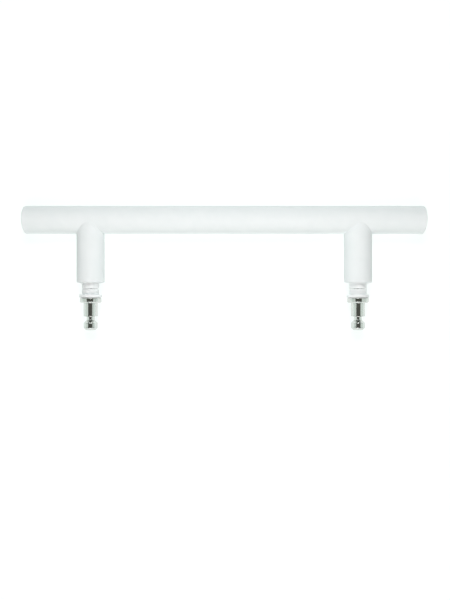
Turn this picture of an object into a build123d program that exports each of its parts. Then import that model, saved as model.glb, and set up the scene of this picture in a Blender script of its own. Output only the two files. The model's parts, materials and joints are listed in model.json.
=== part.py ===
from build123d import *
import os

# Round-bar pull handle for a glass door, with the two through-glass fixings that carry it.
# The bar lies along X. Y runs from the glass (y = 0) out through the posts to the bar. Z is up.
# The origin is midway between the two fixings, on the glass face. All sizes are in millimetres.

# Bar and posts: round tube, a little slimmer for the posts
bar_diameter = 20.0
bar_wall = 1.5
bar_length = 285.0
bar_end_chamfer = 0.5
fixing_spacing = 192.0
post_diameter = 19.5
post_wall = 1.2
post_height = 45.0          # free end of a post to the bar's axis
post_end_chamfer = 0.3
weld_gap = 0.02             # fit-up gap between a coped post and the bar

# End caps, plugged flush into the bar
cap_depth = 5.0
cap_clearance = 0.05

# Thread of the fixings, in the ISO metric form
thread_diameter = 10.0
thread_pitch = 1.5
thread_length = 18.6
thread_tip_chamfer = 1.0
root_depth_per_pitch = 1.2269       # both flanks, nominal diameter to the bolt's root
bore_depth_per_pitch = 1.0825       # both flanks, nominal diameter to the tapped hole

# Tapped inserts inside the posts
insert_tip_room = 2.0       # how far an insert reaches past the bolt's tip
insert_clearance = 0.05

# Nylon bushes: two alike for each hole in the glass
glass_thickness = 8.0
flange_thickness = 2.2
flange_clearance = 0.65     # flange rim to the post's bore, all round
flange_chamfer = 0.3
flange_stand_off = 0.5      # how far the inner flange stands out of the post
sleeve_wall = 1.1
sleeve_clearance = 0.15     # sleeve bore to the bolt, all round
sleeve_gap = 0.3            # between the two sleeves, inside the glass

# Turned fixing bolts
body_diameter = 9.5         # stretch inside the bushes
collar_clearance = 0.85     # collar rim to the bore of the post that slides over it
collar_thickness = 3.8
collar_bevel = 0.7
spigot_diameter = 10.0
spigot_length = 9.7
neck_diameter = 5.8         # seat of the grub screw that locks the post on the spigot
neck_length = 2.6
head_length = 5.2
head_chamfer = 1.6
socket_across_flats = 4.0
socket_depth = 4.0

# Radii that follow from the sizes above
bar_radius = bar_diameter / 2
bar_bore_radius = bar_radius - bar_wall
post_radius = post_diameter / 2
post_bore_radius = post_radius - post_wall
root_radius = (thread_diameter - root_depth_per_pitch * thread_pitch) / 2
tapped_radius = (thread_diameter - bore_depth_per_pitch * thread_pitch) / 2
body_radius = body_diameter / 2
sleeve_bore_radius = body_radius + sleeve_clearance
sleeve_radius = sleeve_bore_radius + sleeve_wall
flange_radius = post_bore_radius - flange_clearance
collar_radius = post_bore_radius - collar_clearance
spigot_radius = spigot_diameter / 2
neck_radius = neck_diameter / 2

# Stations along Y, from the bar down to the head of a bolt
post_end_y = flange_stand_off
bar_axis_y = post_end_y + post_height
insert_face_y = flange_thickness
thread_tip_y = insert_face_y + thread_length
insert_end_y = thread_tip_y + insert_tip_room
glass_near_y = 0.0
glass_middle_y = glass_near_y - glass_thickness / 2
glass_far_y = glass_near_y - glass_thickness
collar_face_y = glass_far_y - flange_thickness
spigot_start_y = collar_face_y - collar_thickness
neck_start_y = spigot_start_y - spigot_length
cone_start_y = neck_start_y - neck_length
head_start_y = cone_start_y - (spigot_radius - neck_radius)     # a 45 degree cone
head_end_y = head_start_y - head_length

os.makedirs("parts", exist_ok=True)


def save(piece, label):
    """Label a finished piece and write it under the same name."""
    piece.part.label = label
    export_step(piece.part, f"parts/{label}.step")


def across_post(axis_x, y):
    """The plane square to a post or fixing at station y, facing the bar."""
    return Plane(origin=(axis_x, y, 0), x_dir=(1, 0, 0), z_dir=(0, 1, 0))


def along_fixing(axis_x):
    """The plane of a fixing's half profile, with its X measured from the fixing's axis."""
    return Plane(origin=(axis_x, 0, 0), x_dir=(1, 0, 0), z_dir=(0, 0, 1))


def make_bar():
    """The grip: a plain tube with its outer end edges broken."""
    with BuildPart() as bar:
        with BuildSketch(Plane.YZ.offset(-bar_length / 2)):
            with Locations((bar_axis_y, 0)):
                Circle(bar_radius)
                Circle(bar_bore_radius, mode=Mode.SUBTRACT)
        extrude(amount=bar_length)
        end_rims = bar.edges().filter_by(GeomType.CIRCLE).sort_by(SortBy.RADIUS)[-2:]
        chamfer(end_rims, bar_end_chamfer)
    save(bar, "bar_tube")


def make_end_cap(side, sign):
    """A plug that closes one end of the bar, flush with its rim."""
    with BuildPart() as cap:
        with BuildSketch(Plane.YZ.offset(sign * bar_length / 2)):
            with Locations((bar_axis_y, 0)):
                Circle(bar_bore_radius - cap_clearance)
        extrude(amount=-sign * cap_depth)
    save(cap, f"end_cap_{side}")


def make_post(side, axis_x):
    """A tube that stands on the glass and is coped to saddle the bar, nearly half way round it."""
    with BuildPart() as post:
        with BuildSketch(across_post(axis_x, post_end_y)):
            Circle(post_radius)
            Circle(post_bore_radius, mode=Mode.SUBTRACT)
        extrude(amount=post_height)
        with BuildSketch(Plane.YZ.offset(axis_x - post_diameter)):
            with Locations((bar_axis_y, 0)):
                Circle(bar_radius + weld_gap)
        extrude(amount=2 * post_diameter, mode=Mode.SUBTRACT)
        foot_rims = post.edges().group_by(Axis.Y)[0]
        chamfer(foot_rims.sort_by(SortBy.RADIUS)[-1], post_end_chamfer)
    save(post, f"post_{side}")


def make_insert(side, axis_x):
    """The tapped insert in a post, set back to make room for the inner bush's flange."""
    with BuildPart() as insert:
        with BuildSketch(across_post(axis_x, insert_face_y)):
            Circle(post_bore_radius - insert_clearance)
            Circle(tapped_radius, mode=Mode.SUBTRACT)
        extrude(amount=insert_end_y - insert_face_y)
    save(insert, f"post_insert_{side}")


def make_bush(label, axis_x, seat_y, outward):
    """A top-hat bush. Its flange lies on the glass at seat_y, and its sleeve fills half of the hole."""
    flange_back_y = seat_y + outward * flange_thickness
    sleeve_end_y = glass_middle_y + outward * sleeve_gap / 2
    with BuildPart() as bush:
        with BuildSketch(along_fixing(axis_x)):
            with BuildLine():
                Polyline(
                    (sleeve_bore_radius, flange_back_y),
                    (flange_radius, flange_back_y),
                    (flange_radius, seat_y),
                    (sleeve_radius, seat_y),
                    (sleeve_radius, sleeve_end_y),
                    (sleeve_bore_radius, sleeve_end_y),
                    close=True,
                )
            make_face()
        revolve(axis=Axis((axis_x, 0, 0), (0, 1, 0)))
        flange_rims = bush.edges().filter_by(GeomType.CIRCLE).sort_by(SortBy.RADIUS)[-2:]
        back_rim = flange_rims.sort_by(Axis.Y)[-1 if outward > 0 else 0]
        chamfer(back_rim, flange_chamfer)
    save(bush, label)


def make_bolt(side, axis_x):
    """A turned bolt: thread, body, clamping collar, spigot, grub-screw neck and socketed head."""
    with BuildPart() as bolt:
        with BuildSketch(along_fixing(axis_x)):
            with BuildLine():
                Polyline(
                    (0, thread_tip_y),
                    (root_radius - thread_tip_chamfer, thread_tip_y),
                    (root_radius, thread_tip_y - thread_tip_chamfer),
                    (root_radius, insert_face_y),
                    (body_radius, insert_face_y),
                    (body_radius, collar_face_y),
                    (collar_radius, collar_face_y),
                    (collar_radius, spigot_start_y),
                    (spigot_radius, spigot_start_y),
                    (spigot_radius, neck_start_y),
                    (neck_radius, neck_start_y),
                    (neck_radius, cone_start_y),
                    (spigot_radius, head_start_y),
                    (spigot_radius, head_end_y + head_chamfer),
                    (spigot_radius - head_chamfer, head_end_y),
                    (0, head_end_y),
                    close=True,
                )
            make_face()
        revolve(axis=Axis((axis_x, 0, 0), (0, 1, 0)))
        collar_rims = bolt.edges().filter_by(GeomType.CIRCLE).sort_by(SortBy.RADIUS)[-2:]
        chamfer(collar_rims, collar_bevel)
        with BuildSketch(across_post(axis_x, head_end_y)):
            RegularPolygon(socket_across_flats / 2, 6, major_radius=False)
        extrude(amount=socket_depth, mode=Mode.SUBTRACT)
    save(bolt, f"fixing_bolt_{side}")


make_bar()
for side, sign in {"left": -1, "right": 1}.items():
    axis_x = sign * fixing_spacing / 2
    make_end_cap(side, sign)
    make_post(side, axis_x)
    make_insert(side, axis_x)
    make_bush(f"inner_bush_{side}", axis_x, glass_near_y, 1)
    make_bush(f"outer_bush_{side}", axis_x, glass_far_y, -1)
    make_bolt(side, axis_x)
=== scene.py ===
import json
import math
import bmesh
import bpy
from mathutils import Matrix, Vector


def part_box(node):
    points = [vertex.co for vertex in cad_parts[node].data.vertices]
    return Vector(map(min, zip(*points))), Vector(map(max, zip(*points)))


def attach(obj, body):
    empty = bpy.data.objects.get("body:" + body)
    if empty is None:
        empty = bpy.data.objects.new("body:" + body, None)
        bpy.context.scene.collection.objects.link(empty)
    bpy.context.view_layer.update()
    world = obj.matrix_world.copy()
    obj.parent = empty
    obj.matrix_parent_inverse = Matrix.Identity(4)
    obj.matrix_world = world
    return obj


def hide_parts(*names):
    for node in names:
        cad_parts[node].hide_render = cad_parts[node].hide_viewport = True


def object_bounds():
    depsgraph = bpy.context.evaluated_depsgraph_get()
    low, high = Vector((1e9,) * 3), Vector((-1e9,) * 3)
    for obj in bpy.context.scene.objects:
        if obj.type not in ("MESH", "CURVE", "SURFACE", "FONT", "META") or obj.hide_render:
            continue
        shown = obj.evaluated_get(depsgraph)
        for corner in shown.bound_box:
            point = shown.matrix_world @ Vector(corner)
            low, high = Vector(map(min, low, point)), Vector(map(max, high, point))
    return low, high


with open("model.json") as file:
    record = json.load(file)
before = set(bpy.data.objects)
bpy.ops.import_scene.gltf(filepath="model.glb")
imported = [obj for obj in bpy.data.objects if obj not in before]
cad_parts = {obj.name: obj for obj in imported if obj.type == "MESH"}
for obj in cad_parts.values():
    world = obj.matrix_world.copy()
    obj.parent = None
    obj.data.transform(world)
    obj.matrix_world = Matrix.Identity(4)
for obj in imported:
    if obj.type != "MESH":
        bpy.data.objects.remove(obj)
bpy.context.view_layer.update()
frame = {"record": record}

# Looks of a white round-bar pull handle for a glass door. Metres, in the frame of the solids:
# the bar lies along X, Y runs from the glass at y = 0 out to the bar, and Z is up.

MM = 0.001

# Sizes read from the solids
bar_low, bar_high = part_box("bar_tube")
cap_low, cap_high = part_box("end_cap_right")
post_low, post_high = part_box("post_right")
insert_low, insert_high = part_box("post_insert_right")
bolt_low, bolt_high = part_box("fixing_bolt_right")
inner_low, inner_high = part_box("inner_bush_right")
outer_low, outer_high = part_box("outer_bush_right")
mounts = {mount["name"]: mount for mount in frame["record"]["mounts"]}
spigot = mounts["spigot_right"]

fixing_x = spigot["pos_m"][0]
bar_axis_y = (bar_low.y + bar_high.y) / 2
bar_end_x = bar_high.x
bar_radius = bar_high.y - bar_axis_y
cap_inner_x = cap_low.x
cap_radius = cap_high.y - bar_axis_y
post_end_y = post_low.y
post_radius = post_high.x - fixing_x
insert_radius = insert_high.x - fixing_x
insert_face_y = insert_low.y
insert_end_y = insert_high.y
thread_tip_y = bolt_high.y
head_end_y = bolt_low.y
collar_radius = bolt_high.x - fixing_x
flange_radius = inner_high.x - fixing_x
flange_thickness = inner_high.y
collar_face_y = outer_low.y
glass_near_y = 0.0
glass_far_y = collar_face_y + flange_thickness
spigot_radius = spigot["dims"]["r_mm"] * MM
spigot_half = spigot["dims"]["length_mm"] * MM / 2
spigot_start_y = spigot["pos_m"][1] + spigot_half
neck_start_y = spigot["pos_m"][1] - spigot_half

# Sizes that the boxes don't tell
cap_clearance = 0.05 * MM
insert_clearance = 0.05 * MM
weld_gap = 0.02 * MM        # between a coped post and the bar
bar_bore_radius = cap_radius + cap_clearance
post_bore_radius = insert_radius + insert_clearance
sleeve_radius = 6.0 * MM
sleeve_bore_radius = 4.9 * MM
body_radius = 4.75 * MM
neck_radius = 2.9 * MM
neck_length = 2.6 * MM
head_chamfer = 1.6 * MM
collar_bevel = 0.7 * MM
socket_across_flats = 4.0 * MM
socket_depth = 4.0 * MM
socket_lead_in = 0.3 * MM
thread_pitch = 1.5 * MM
thread_crest_radius = 5.0 * MM
thread_root_radius = 4.08 * MM
thread_root_flat = 0.12     # share of the pitch
thread_flanks = 0.68        # share of the pitch, both flanks together
thread_tip_chamfer = 1.0 * MM
thread_runout = 0.2 * MM    # where the thread gives way to the plain body
thread_slack = 0.1 * MM     # room round the bolt's thread in the insert
insert_edge = 0.5 * MM

# Small edges that only show close to
joint_line = 0.35 * MM      # how far the rim of a post is eased where it saddles the bar
bar_edge = 0.6 * MM
post_edge = 0.4 * MM
post_mouth_edge = 0.2 * MM
cap_edge = 0.25 * MM
turned_edge = 0.15 * MM
head_edge = 0.3 * MM
moulded_edge = 0.3 * MM

# Places of rows that the meshes need
post_foot = 5.0 * MM        # from a post's free end to the row above its rounded edges
axis_hole = 0.3 * MM        # radius of the flat face that closes a turned end on its axis
flat_hold = 0.05 * MM       # from an arc to a row on the flat beside it, so that the flat is shaded flat

# How finely round pieces are divided
FINE = 192                  # round the bar and the posts
MEDIUM = 144                # round all other pieces
ARC_STEPS = 5               # along a rounded edge
RIM_STEPS = 6               # along the eased rim of a post
ROWS_PER_THREAD = 12
SHARP_ANGLE = math.radians(40)      # an edge that bends more than this isn't shaded smooth


def new_piece(name, rings, closed):
    """A smooth mesh through rings of points. Open ends get a face each."""
    count = len(rings[0])
    points = [point for ring in rings for point in ring]
    faces = []
    steps = len(rings) if closed else len(rings) - 1
    for i in range(steps):
        here = i * count
        there = ((i + 1) % len(rings)) * count
        for j in range(count):
            beside = (j + 1) % count
            faces.append((here + j, here + beside, there + beside, there + j))
    if not closed:
        last = (len(rings) - 1) * count
        faces.append(tuple(reversed(range(count))))
        faces.append(tuple(range(last, last + count)))
    mesh = bpy.data.meshes.new(name)
    mesh.from_pydata(points, [], faces)
    shape = bmesh.new()
    shape.from_mesh(mesh)
    bmesh.ops.recalc_face_normals(shape, faces=shape.faces)
    shape.to_mesh(mesh)
    shape.free()
    mesh.shade_smooth()
    mesh.set_sharp_from_angle(angle=SHARP_ANGLE)
    piece = bpy.data.objects.new(name, mesh)
    bpy.context.scene.collection.objects.link(piece)
    return piece


def swing(start, end, share):
    """The unit vector a share of the way round from one unit vector to another."""
    angle = start.angle(end)
    return (start * math.sin((1 - share) * angle) + end * math.sin(share * angle)) / math.sin(angle)


def rounded(corners):
    """The profile through (radius, station, round) corners.

    A corner whose round isn't 0 becomes an arc, with one more point on the flat at either side of it.
    """
    profile = []
    count = len(corners)
    for i, (radius, station, size) in enumerate(corners):
        here = Vector((radius, station))
        if size == 0:
            profile.append(here)
            continue
        before = Vector(corners[i - 1][:2])
        after = Vector(corners[(i + 1) % count][:2])
        back = (before - here).normalized()
        ahead = (after - here).normalized()
        half_angle = back.angle(ahead) / 2
        reach = size / math.tan(half_angle)
        centre = here + (back + ahead).normalized() * size / math.sin(half_angle)
        start = (here + back * reach - centre).normalized()
        end = (here + ahead * reach - centre).normalized()
        profile.append(here + back * (reach + flat_hold))
        for step in range(ARC_STEPS + 1):
            profile.append(centre + size * swing(start, end, step / ARC_STEPS))
        profile.append(here + ahead * (reach + flat_hold))
    return profile


def turned(name, profile, origin, along, closed=True, segments=MEDIUM):
    """A round body from rows of (radius, station), on an axis along X or Y through origin.

    A station may be a function of the angle, and a radius a function of the station and the angle.
    """
    axis = Vector((1, 0, 0)) if along == "X" else Vector((0, 1, 0))
    across = Vector((0, 1, 0)) if along == "X" else Vector((1, 0, 0))
    up = Vector((0, 0, 1))
    rings = []
    for radius, station in profile:
        ring = []
        for j in range(segments):
            angle = math.tau * j / segments
            height = station(angle) if callable(station) else station
            reach = radius(height, angle) if callable(radius) else radius
            spoke = across * math.cos(angle) + up * math.sin(angle)
            ring.append(origin + axis * height + spoke * reach)
        rings.append(ring)
    return new_piece(name, rings, closed)


def make_bar():
    """The grip tube with softly rounded outer ends."""
    corners = [
        (bar_radius, -bar_end_x, bar_edge),
        (bar_radius, bar_end_x, bar_edge),
        (bar_bore_radius, bar_end_x, 0),
        (bar_bore_radius, -bar_end_x, 0),
    ]
    return turned("grip_bar", rounded(corners), Vector((0, bar_axis_y, 0)), "X", segments=FINE)


def make_cap(name, sign):
    """The plug in one end of the bar."""
    corners = [
        (axis_hole, sign * cap_inner_x, 0),
        (cap_radius, sign * cap_inner_x, cap_edge),
        (cap_radius, sign * bar_end_x, cap_edge),
        (axis_hole, sign * bar_end_x, 0),
    ]
    return turned(name, rounded(corners), Vector((0, bar_axis_y, 0)), "X", closed=False)


def saddle_row(radius, below):
    """A row on a post's skin that follows the cope, a little below it if asked."""
    def station(angle):
        rise = math.sqrt((bar_radius + weld_gap) ** 2 - (radius * math.sin(angle)) ** 2)
        return bar_axis_y - rise - below

    return radius, station


def make_post(name, axis_x):
    """A coped tube as one closed skin, its rim eased so that a fine line shows where it saddles the bar."""
    foot_top_y = post_end_y + post_foot
    foot = rounded([
        (post_bore_radius, foot_top_y, 0),
        (post_bore_radius, post_end_y, post_mouth_edge),
        (post_radius, post_end_y, post_edge),
        (post_radius, foot_top_y, 0),
    ])
    rim = [saddle_row(post_radius, joint_line + flat_hold)]
    for step in range(RIM_STEPS + 1):
        turn = math.pi / 2 * step / RIM_STEPS
        inset = joint_line * (1 - math.cos(turn))
        rim.append(saddle_row(post_radius - inset, joint_line * (1 - math.sin(turn))))
    profile = [saddle_row(post_bore_radius, 0)] + foot + rim
    return turned(name, profile, Vector((axis_x, 0, 0)), "Y", segments=FINE)


def thread_form(turns):
    """Height of the thread between root and crest, 0 to 1, at a phase in turns."""
    ridge = 1 - abs(2 * (turns % 1.0) - 1)
    return min(1.0, max(0.0, (ridge - thread_root_flat) / thread_flanks))


def thread_rows(start_y, end_y, slack):
    """Rows along a threaded stretch, close enough to follow its helix."""
    def radius(station, angle):
        height = thread_form(station / thread_pitch - angle / math.tau)
        return thread_root_radius + (thread_crest_radius - thread_root_radius) * height + slack

    count = round(abs(end_y - start_y) / thread_pitch * ROWS_PER_THREAD)
    return [(radius, start_y + (end_y - start_y) * i / count) for i in range(count + 1)]


def hexagon(station, angle):
    """The radius of the hexagon socket at an angle, the same at each station."""
    return socket_across_flats / 2 / math.cos(angle % (math.tau / 6) - math.tau / 12)


def make_bolt(name, axis_x):
    """The turned bolt: helical thread, body, collar, spigot, neck and socketed head."""
    cone_start_y = neck_start_y - neck_length
    head_start_y = cone_start_y - (spigot_radius - neck_radius)
    socket_mouth = socket_across_flats / 2 / math.cos(math.tau / 12) + socket_lead_in
    tip = [
        (axis_hole, thread_tip_y),
        (thread_root_radius - thread_tip_chamfer, thread_tip_y),
    ]
    thread = thread_rows(thread_tip_y - thread_tip_chamfer, insert_face_y + thread_runout, 0.0)
    outside = rounded([
        (body_radius, insert_face_y, 0),
        (body_radius, collar_face_y, 0),
        (collar_radius - collar_bevel, collar_face_y, turned_edge),
        (collar_radius, collar_face_y - collar_bevel, turned_edge),
        (collar_radius, spigot_start_y + collar_bevel, turned_edge),
        (collar_radius - collar_bevel, spigot_start_y, turned_edge),
        (spigot_radius, spigot_start_y, turned_edge),
        (spigot_radius, neck_start_y, turned_edge),
        (neck_radius, neck_start_y, turned_edge),
        (neck_radius, cone_start_y, head_edge),
        (spigot_radius, head_start_y, head_edge),
        (spigot_radius, head_end_y + head_chamfer, head_edge),
        (spigot_radius - head_chamfer, head_end_y, head_edge),
        (socket_mouth, head_end_y, 0),
    ])
    socket = [
        (hexagon, head_end_y + socket_lead_in),
        (hexagon, head_end_y + socket_depth),
        (axis_hole, head_end_y + socket_depth),
    ]
    return turned(name, tip + thread + outside + socket, Vector((axis_x, 0, 0)), "Y", closed=False)


def make_bush(name, axis_x, seat_y, back_y, sleeve_end_y):
    """A moulded top-hat bush with soft edges."""
    corners = [
        (sleeve_bore_radius, back_y, moulded_edge / 2),
        (flange_radius, back_y, moulded_edge),
        (flange_radius, seat_y, moulded_edge),
        (sleeve_radius, seat_y, moulded_edge / 2),
        (sleeve_radius, sleeve_end_y, moulded_edge),
        (sleeve_bore_radius, sleeve_end_y, moulded_edge / 2),
    ]
    return turned(name, rounded(corners), Vector((axis_x, 0, 0)), "Y")


def make_insert(name, axis_x):
    """The tapped insert inside a post."""
    outside = [
        (insert_radius - insert_edge, insert_end_y),
        (insert_radius, insert_end_y - insert_edge),
        (insert_radius, insert_face_y + insert_edge),
        (insert_radius - insert_edge, insert_face_y),
    ]
    bore = thread_rows(insert_face_y, insert_end_y, thread_slack)
    return turned(name, outside + bore, Vector((axis_x, 0, 0)), "Y")


# Finishes

PATTERN_LOW = 0.3                   # the stretch of a pattern's values
PATTERN_HIGH = 0.7                  # over which it makes its whole change
WAVE_REPEAT = math.tau / 20         # spacing of a wave texture's bands at scale 1


def new_finish(name):
    """A new node material, its tree, its shader and the object's own coordinates."""
    finish = bpy.data.materials.new(name)
    finish.use_nodes = True
    tree = finish.node_tree
    place = tree.nodes.new("ShaderNodeTexCoord").outputs["Object"]
    return finish, tree, tree.nodes["Principled BSDF"], place


def noise(tree, place, wavelength, detail=2.0):
    """A cloudy pattern with the given wavelength."""
    node = tree.nodes.new("ShaderNodeTexNoise")
    node.inputs["Scale"].default_value = 1 / wavelength
    node.inputs["Detail"].default_value = detail
    tree.links.new(place, node.inputs["Vector"])
    return node.outputs["Fac"]


def turning_marks(tree, place, spacing):
    """Fine rings along Y, as a lathe tool leaves them, a little uneven."""
    node = tree.nodes.new("ShaderNodeTexWave")
    node.bands_direction = "Y"
    node.inputs["Scale"].default_value = WAVE_REPEAT / spacing
    node.inputs["Distortion"].default_value = 1.5
    node.inputs["Detail Scale"].default_value = 0.6
    tree.links.new(place, node.inputs["Vector"])
    return node.outputs["Fac"]


def vary(tree, pattern, socket, low, high):
    """Let a pattern move a number on the shader between two values."""
    node = tree.nodes.new("ShaderNodeMapRange")
    node.inputs["From Min"].default_value = PATTERN_LOW
    node.inputs["From Max"].default_value = PATTERN_HIGH
    node.inputs["To Min"].default_value = low
    node.inputs["To Max"].default_value = high
    tree.links.new(pattern, node.inputs["Value"])
    tree.links.new(node.outputs["Result"], socket)


def tint(tree, pattern, socket, first, second):
    """Let a pattern blend two colours on the shader."""
    node = tree.nodes.new("ShaderNodeValToRGB")
    node.color_ramp.elements[0].position = PATTERN_LOW
    node.color_ramp.elements[1].position = PATTERN_HIGH
    node.color_ramp.elements[0].color = (*first, 1)
    node.color_ramp.elements[1].color = (*second, 1)
    tree.links.new(pattern, node.inputs["Fac"])
    tree.links.new(node.outputs["Color"], socket)


def relief(tree, shader, patterns):
    """Raise (pattern, depth) pairs on the surface, one over the other."""
    under = None
    for pattern, depth in patterns:
        node = tree.nodes.new("ShaderNodeBump")
        node.inputs["Strength"].default_value = 1.0
        node.inputs["Distance"].default_value = depth
        tree.links.new(pattern, node.inputs["Height"])
        if under:
            tree.links.new(under, node.inputs["Normal"])
        under = node.outputs["Normal"]
    tree.links.new(under, shader.inputs["Normal"])


def white_coat():
    """Satin white powder coat: a faint orange peel with a fine grain over it."""
    finish, tree, shader, place = new_finish("white_coat")
    peel = noise(tree, place, wavelength=1.6 * MM)
    grain = noise(tree, place, wavelength=0.35 * MM)
    clouds = noise(tree, place, wavelength=9 * MM, detail=3.0)
    tint(tree, clouds, shader.inputs["Base Color"], first=(0.8, 0.84, 0.84), second=(0.825, 0.86, 0.86))
    vary(tree, peel, shader.inputs["Roughness"], low=0.56, high=0.66)
    relief(tree, shader, [(peel, 0.012 * MM), (grain, 0.003 * MM)])
    shader.inputs["Specular IOR Level"].default_value = 0.15
    return finish


def bolt_chrome():
    """Bright plating over turned steel."""
    finish, tree, shader, place = new_finish("bolt_chrome")
    marks = turning_marks(tree, place, spacing=0.22 * MM)
    haze = noise(tree, place, wavelength=2.5 * MM, detail=4.0)
    tint(tree, haze, shader.inputs["Base Color"], first=(0.66, 0.67, 0.65), second=(0.73, 0.74, 0.72))
    vary(tree, haze, shader.inputs["Roughness"], low=0.07, high=0.15)
    relief(tree, shader, [(marks, 0.0015 * MM)])
    shader.inputs["Metallic"].default_value = 1.0
    return finish


def insert_steel():
    """Plain turned steel of the inserts."""
    finish, tree, shader, place = new_finish("insert_steel")
    marks = turning_marks(tree, place, spacing=0.3 * MM)
    haze = noise(tree, place, wavelength=3 * MM, detail=4.0)
    tint(tree, haze, shader.inputs["Base Color"], first=(0.45, 0.455, 0.46), second=(0.55, 0.555, 0.56))
    vary(tree, haze, shader.inputs["Roughness"], low=0.25, high=0.4)
    relief(tree, shader, [(marks, 0.003 * MM)])
    shader.inputs["Metallic"].default_value = 1.0
    return finish


def bush_nylon():
    """Natural nylon, milky and a little see-through."""
    finish, tree, shader, place = new_finish("bush_nylon")
    clouds = noise(tree, place, wavelength=4 * MM, detail=3.0)
    grain = noise(tree, place, wavelength=0.5 * MM)
    tint(tree, clouds, shader.inputs["Base Color"], first=(0.9, 0.945, 0.95), second=(0.93, 0.96, 0.965))
    vary(tree, grain, shader.inputs["Roughness"], low=0.28, high=0.38)
    relief(tree, shader, [(grain, 0.002 * MM)])
    shader.inputs["Transmission Weight"].default_value = 0.05
    shader.inputs["IOR"].default_value = 1.53
    shader.inputs["Subsurface Weight"].default_value = 0.4
    shader.inputs["Subsurface Radius"].default_value = (1.0, 1.0, 1.0)
    shader.inputs["Subsurface Scale"].default_value = 1.5 * MM
    return finish


def place_piece(piece, node, finish):
    """Put a piece in its node's place, on the one body, with its finish."""
    piece.data.materials.append(finish)
    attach(piece, "root")
    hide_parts(node)


coat = white_coat()
chrome = bolt_chrome()
steel = insert_steel()
nylon = bush_nylon()

place_piece(make_bar(), "bar_tube", coat)
for side, sign in {"left": -1, "right": 1}.items():
    axis_x = sign * fixing_x
    place_piece(make_cap(f"bar_cap_{side}", sign), f"end_cap_{side}", coat)
    place_piece(make_post(f"grip_post_{side}", axis_x), f"post_{side}", coat)
    place_piece(make_insert(f"tapped_insert_{side}", axis_x), f"post_insert_{side}", steel)
    place_piece(make_bolt(f"glass_bolt_{side}", axis_x), f"fixing_bolt_{side}", chrome)
    near = make_bush(f"near_bush_{side}", axis_x, glass_near_y, inner_high.y, inner_low.y)
    place_piece(near, f"inner_bush_{side}", nylon)
    far = make_bush(f"far_bush_{side}", axis_x, glass_far_y, outer_low.y, outer_high.y)
    place_piece(far, f"outer_bush_{side}", nylon)


# Stage, camera and light

FLOOR_REACH = 12.0
FLOOR_COLOUR = (0.2, 0.2, 0.2)
FLOOR_GLOW = 0.87
FLOOR_GLOW_COLOUR = (0.94, 1, 0.98)

CAMERA_PLACE = (0.0005, -0.0120, 0.388)
CAMERA_LENS = 32.4          # millimetres, for the sensor below
CAMERA_SENSOR = 36.0
CAMERA_NEAR = 0.01          # the camera sees nothing nearer than this

# Colour of the room by height, which is the sine of the angle above the horizon
ROOM = {
    0.0: (0.51, 0.585, 0.57),
    0.2: (0.24, 0.3, 0.28),
    0.36: (0.088, 0.092, 0.08),
}

# Place, size, power and colour of each softbox
SOFTBOXES = {
    "key_box": ((0, -0.32, 0.56), (0.4, 0.16), 1.52, (1, 0.895, 0.89)),
    "front_box": ((0, -0.5, 0.26), (0.5, 0.26), 1.15, (0.95, 0.985, 1)),
    "back_box": ((0, 0.26, 0.40), (0.2, 0.14), 1.14, (1, 0.975, 1)),
    "high_box": ((0, 0.34, 0.60), (0.5, 0.2), 0.58, (0.82, 1, 0.97)),
    "left_box": ((-0.6, -0.04, 0.33), (0.1, 0.7), 0.18, (0.9, 1, 0.96)),
    "right_box": ((0.6, -0.04, 0.33), (0.1, 0.7), 0.18, (0.9, 1, 0.96)),
}


def make_floor():
    """The plain white table that the handle lies on, lit from within."""
    table_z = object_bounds()[0].z
    square = ((-1, -1), (1, -1), (1, 1), (-1, 1))
    corners = [(x * FLOOR_REACH, y * FLOOR_REACH, table_z) for x, y in square]
    mesh = bpy.data.meshes.new("floor")
    mesh.from_pydata(corners, [], [(0, 1, 2, 3)])
    floor = bpy.data.objects.new("floor", mesh)
    bpy.context.scene.collection.objects.link(floor)
    white, _, shader, _ = new_finish("white_table")
    shader.inputs["Base Color"].default_value = (*FLOOR_COLOUR, 1)
    shader.inputs["Roughness"].default_value = 0.9
    shader.inputs["Emission Color"].default_value = (*FLOOR_GLOW_COLOUR, 1)
    shader.inputs["Emission Strength"].default_value = FLOOR_GLOW
    mesh.materials.append(white)


def make_camera():
    """Straight down, as far above the table and as far off the middle as in the photograph."""
    data = bpy.data.cameras.new("camera")
    data.sensor_width = CAMERA_SENSOR
    data.lens = CAMERA_LENS
    data.clip_start = CAMERA_NEAR
    camera = bpy.data.objects.new("camera", data)
    camera.location = CAMERA_PLACE
    bpy.context.scene.collection.objects.link(camera)
    bpy.context.scene.camera = camera


def softbox(name, location, size, power, colour):
    """A rectangular light that faces the handle."""
    data = bpy.data.lights.new(name, "AREA")
    data.shape = "RECTANGLE"
    data.size, data.size_y = size
    data.energy = power
    data.color = colour
    light = bpy.data.objects.new(name, data)
    light.location = location
    light.rotation_euler = (-Vector(location)).to_track_quat("-Z", "Y").to_euler()
    bpy.context.scene.collection.objects.link(light)


def make_room():
    """Walls round the table, pale low down, and a dim ceiling above the camera."""
    world = bpy.data.worlds.new("studio")
    world.use_nodes = True
    tree = world.node_tree
    place = tree.nodes.new("ShaderNodeTexCoord")
    split = tree.nodes.new("ShaderNodeSeparateXYZ")
    ramp = tree.nodes.new("ShaderNodeValToRGB")
    tree.links.new(place.outputs["Generated"], split.inputs["Vector"])
    tree.links.new(split.outputs["Z"], ramp.inputs["Fac"])
    tree.links.new(ramp.outputs["Color"], tree.nodes["Background"].inputs["Color"])
    # A new ramp has two stops, and the room needs a third between them
    ramp.color_ramp.elements.new(0.5)
    for element, (height, colour) in zip(ramp.color_ramp.elements, ROOM.items()):
        element.position = height
        element.color = (*colour, 1)
    bpy.context.scene.world = world


make_floor()
make_camera()
make_room()
for name, setting in SOFTBOXES.items():
    softbox(name, *setting)
bpy.context.scene.view_settings.view_transform = "Standard"
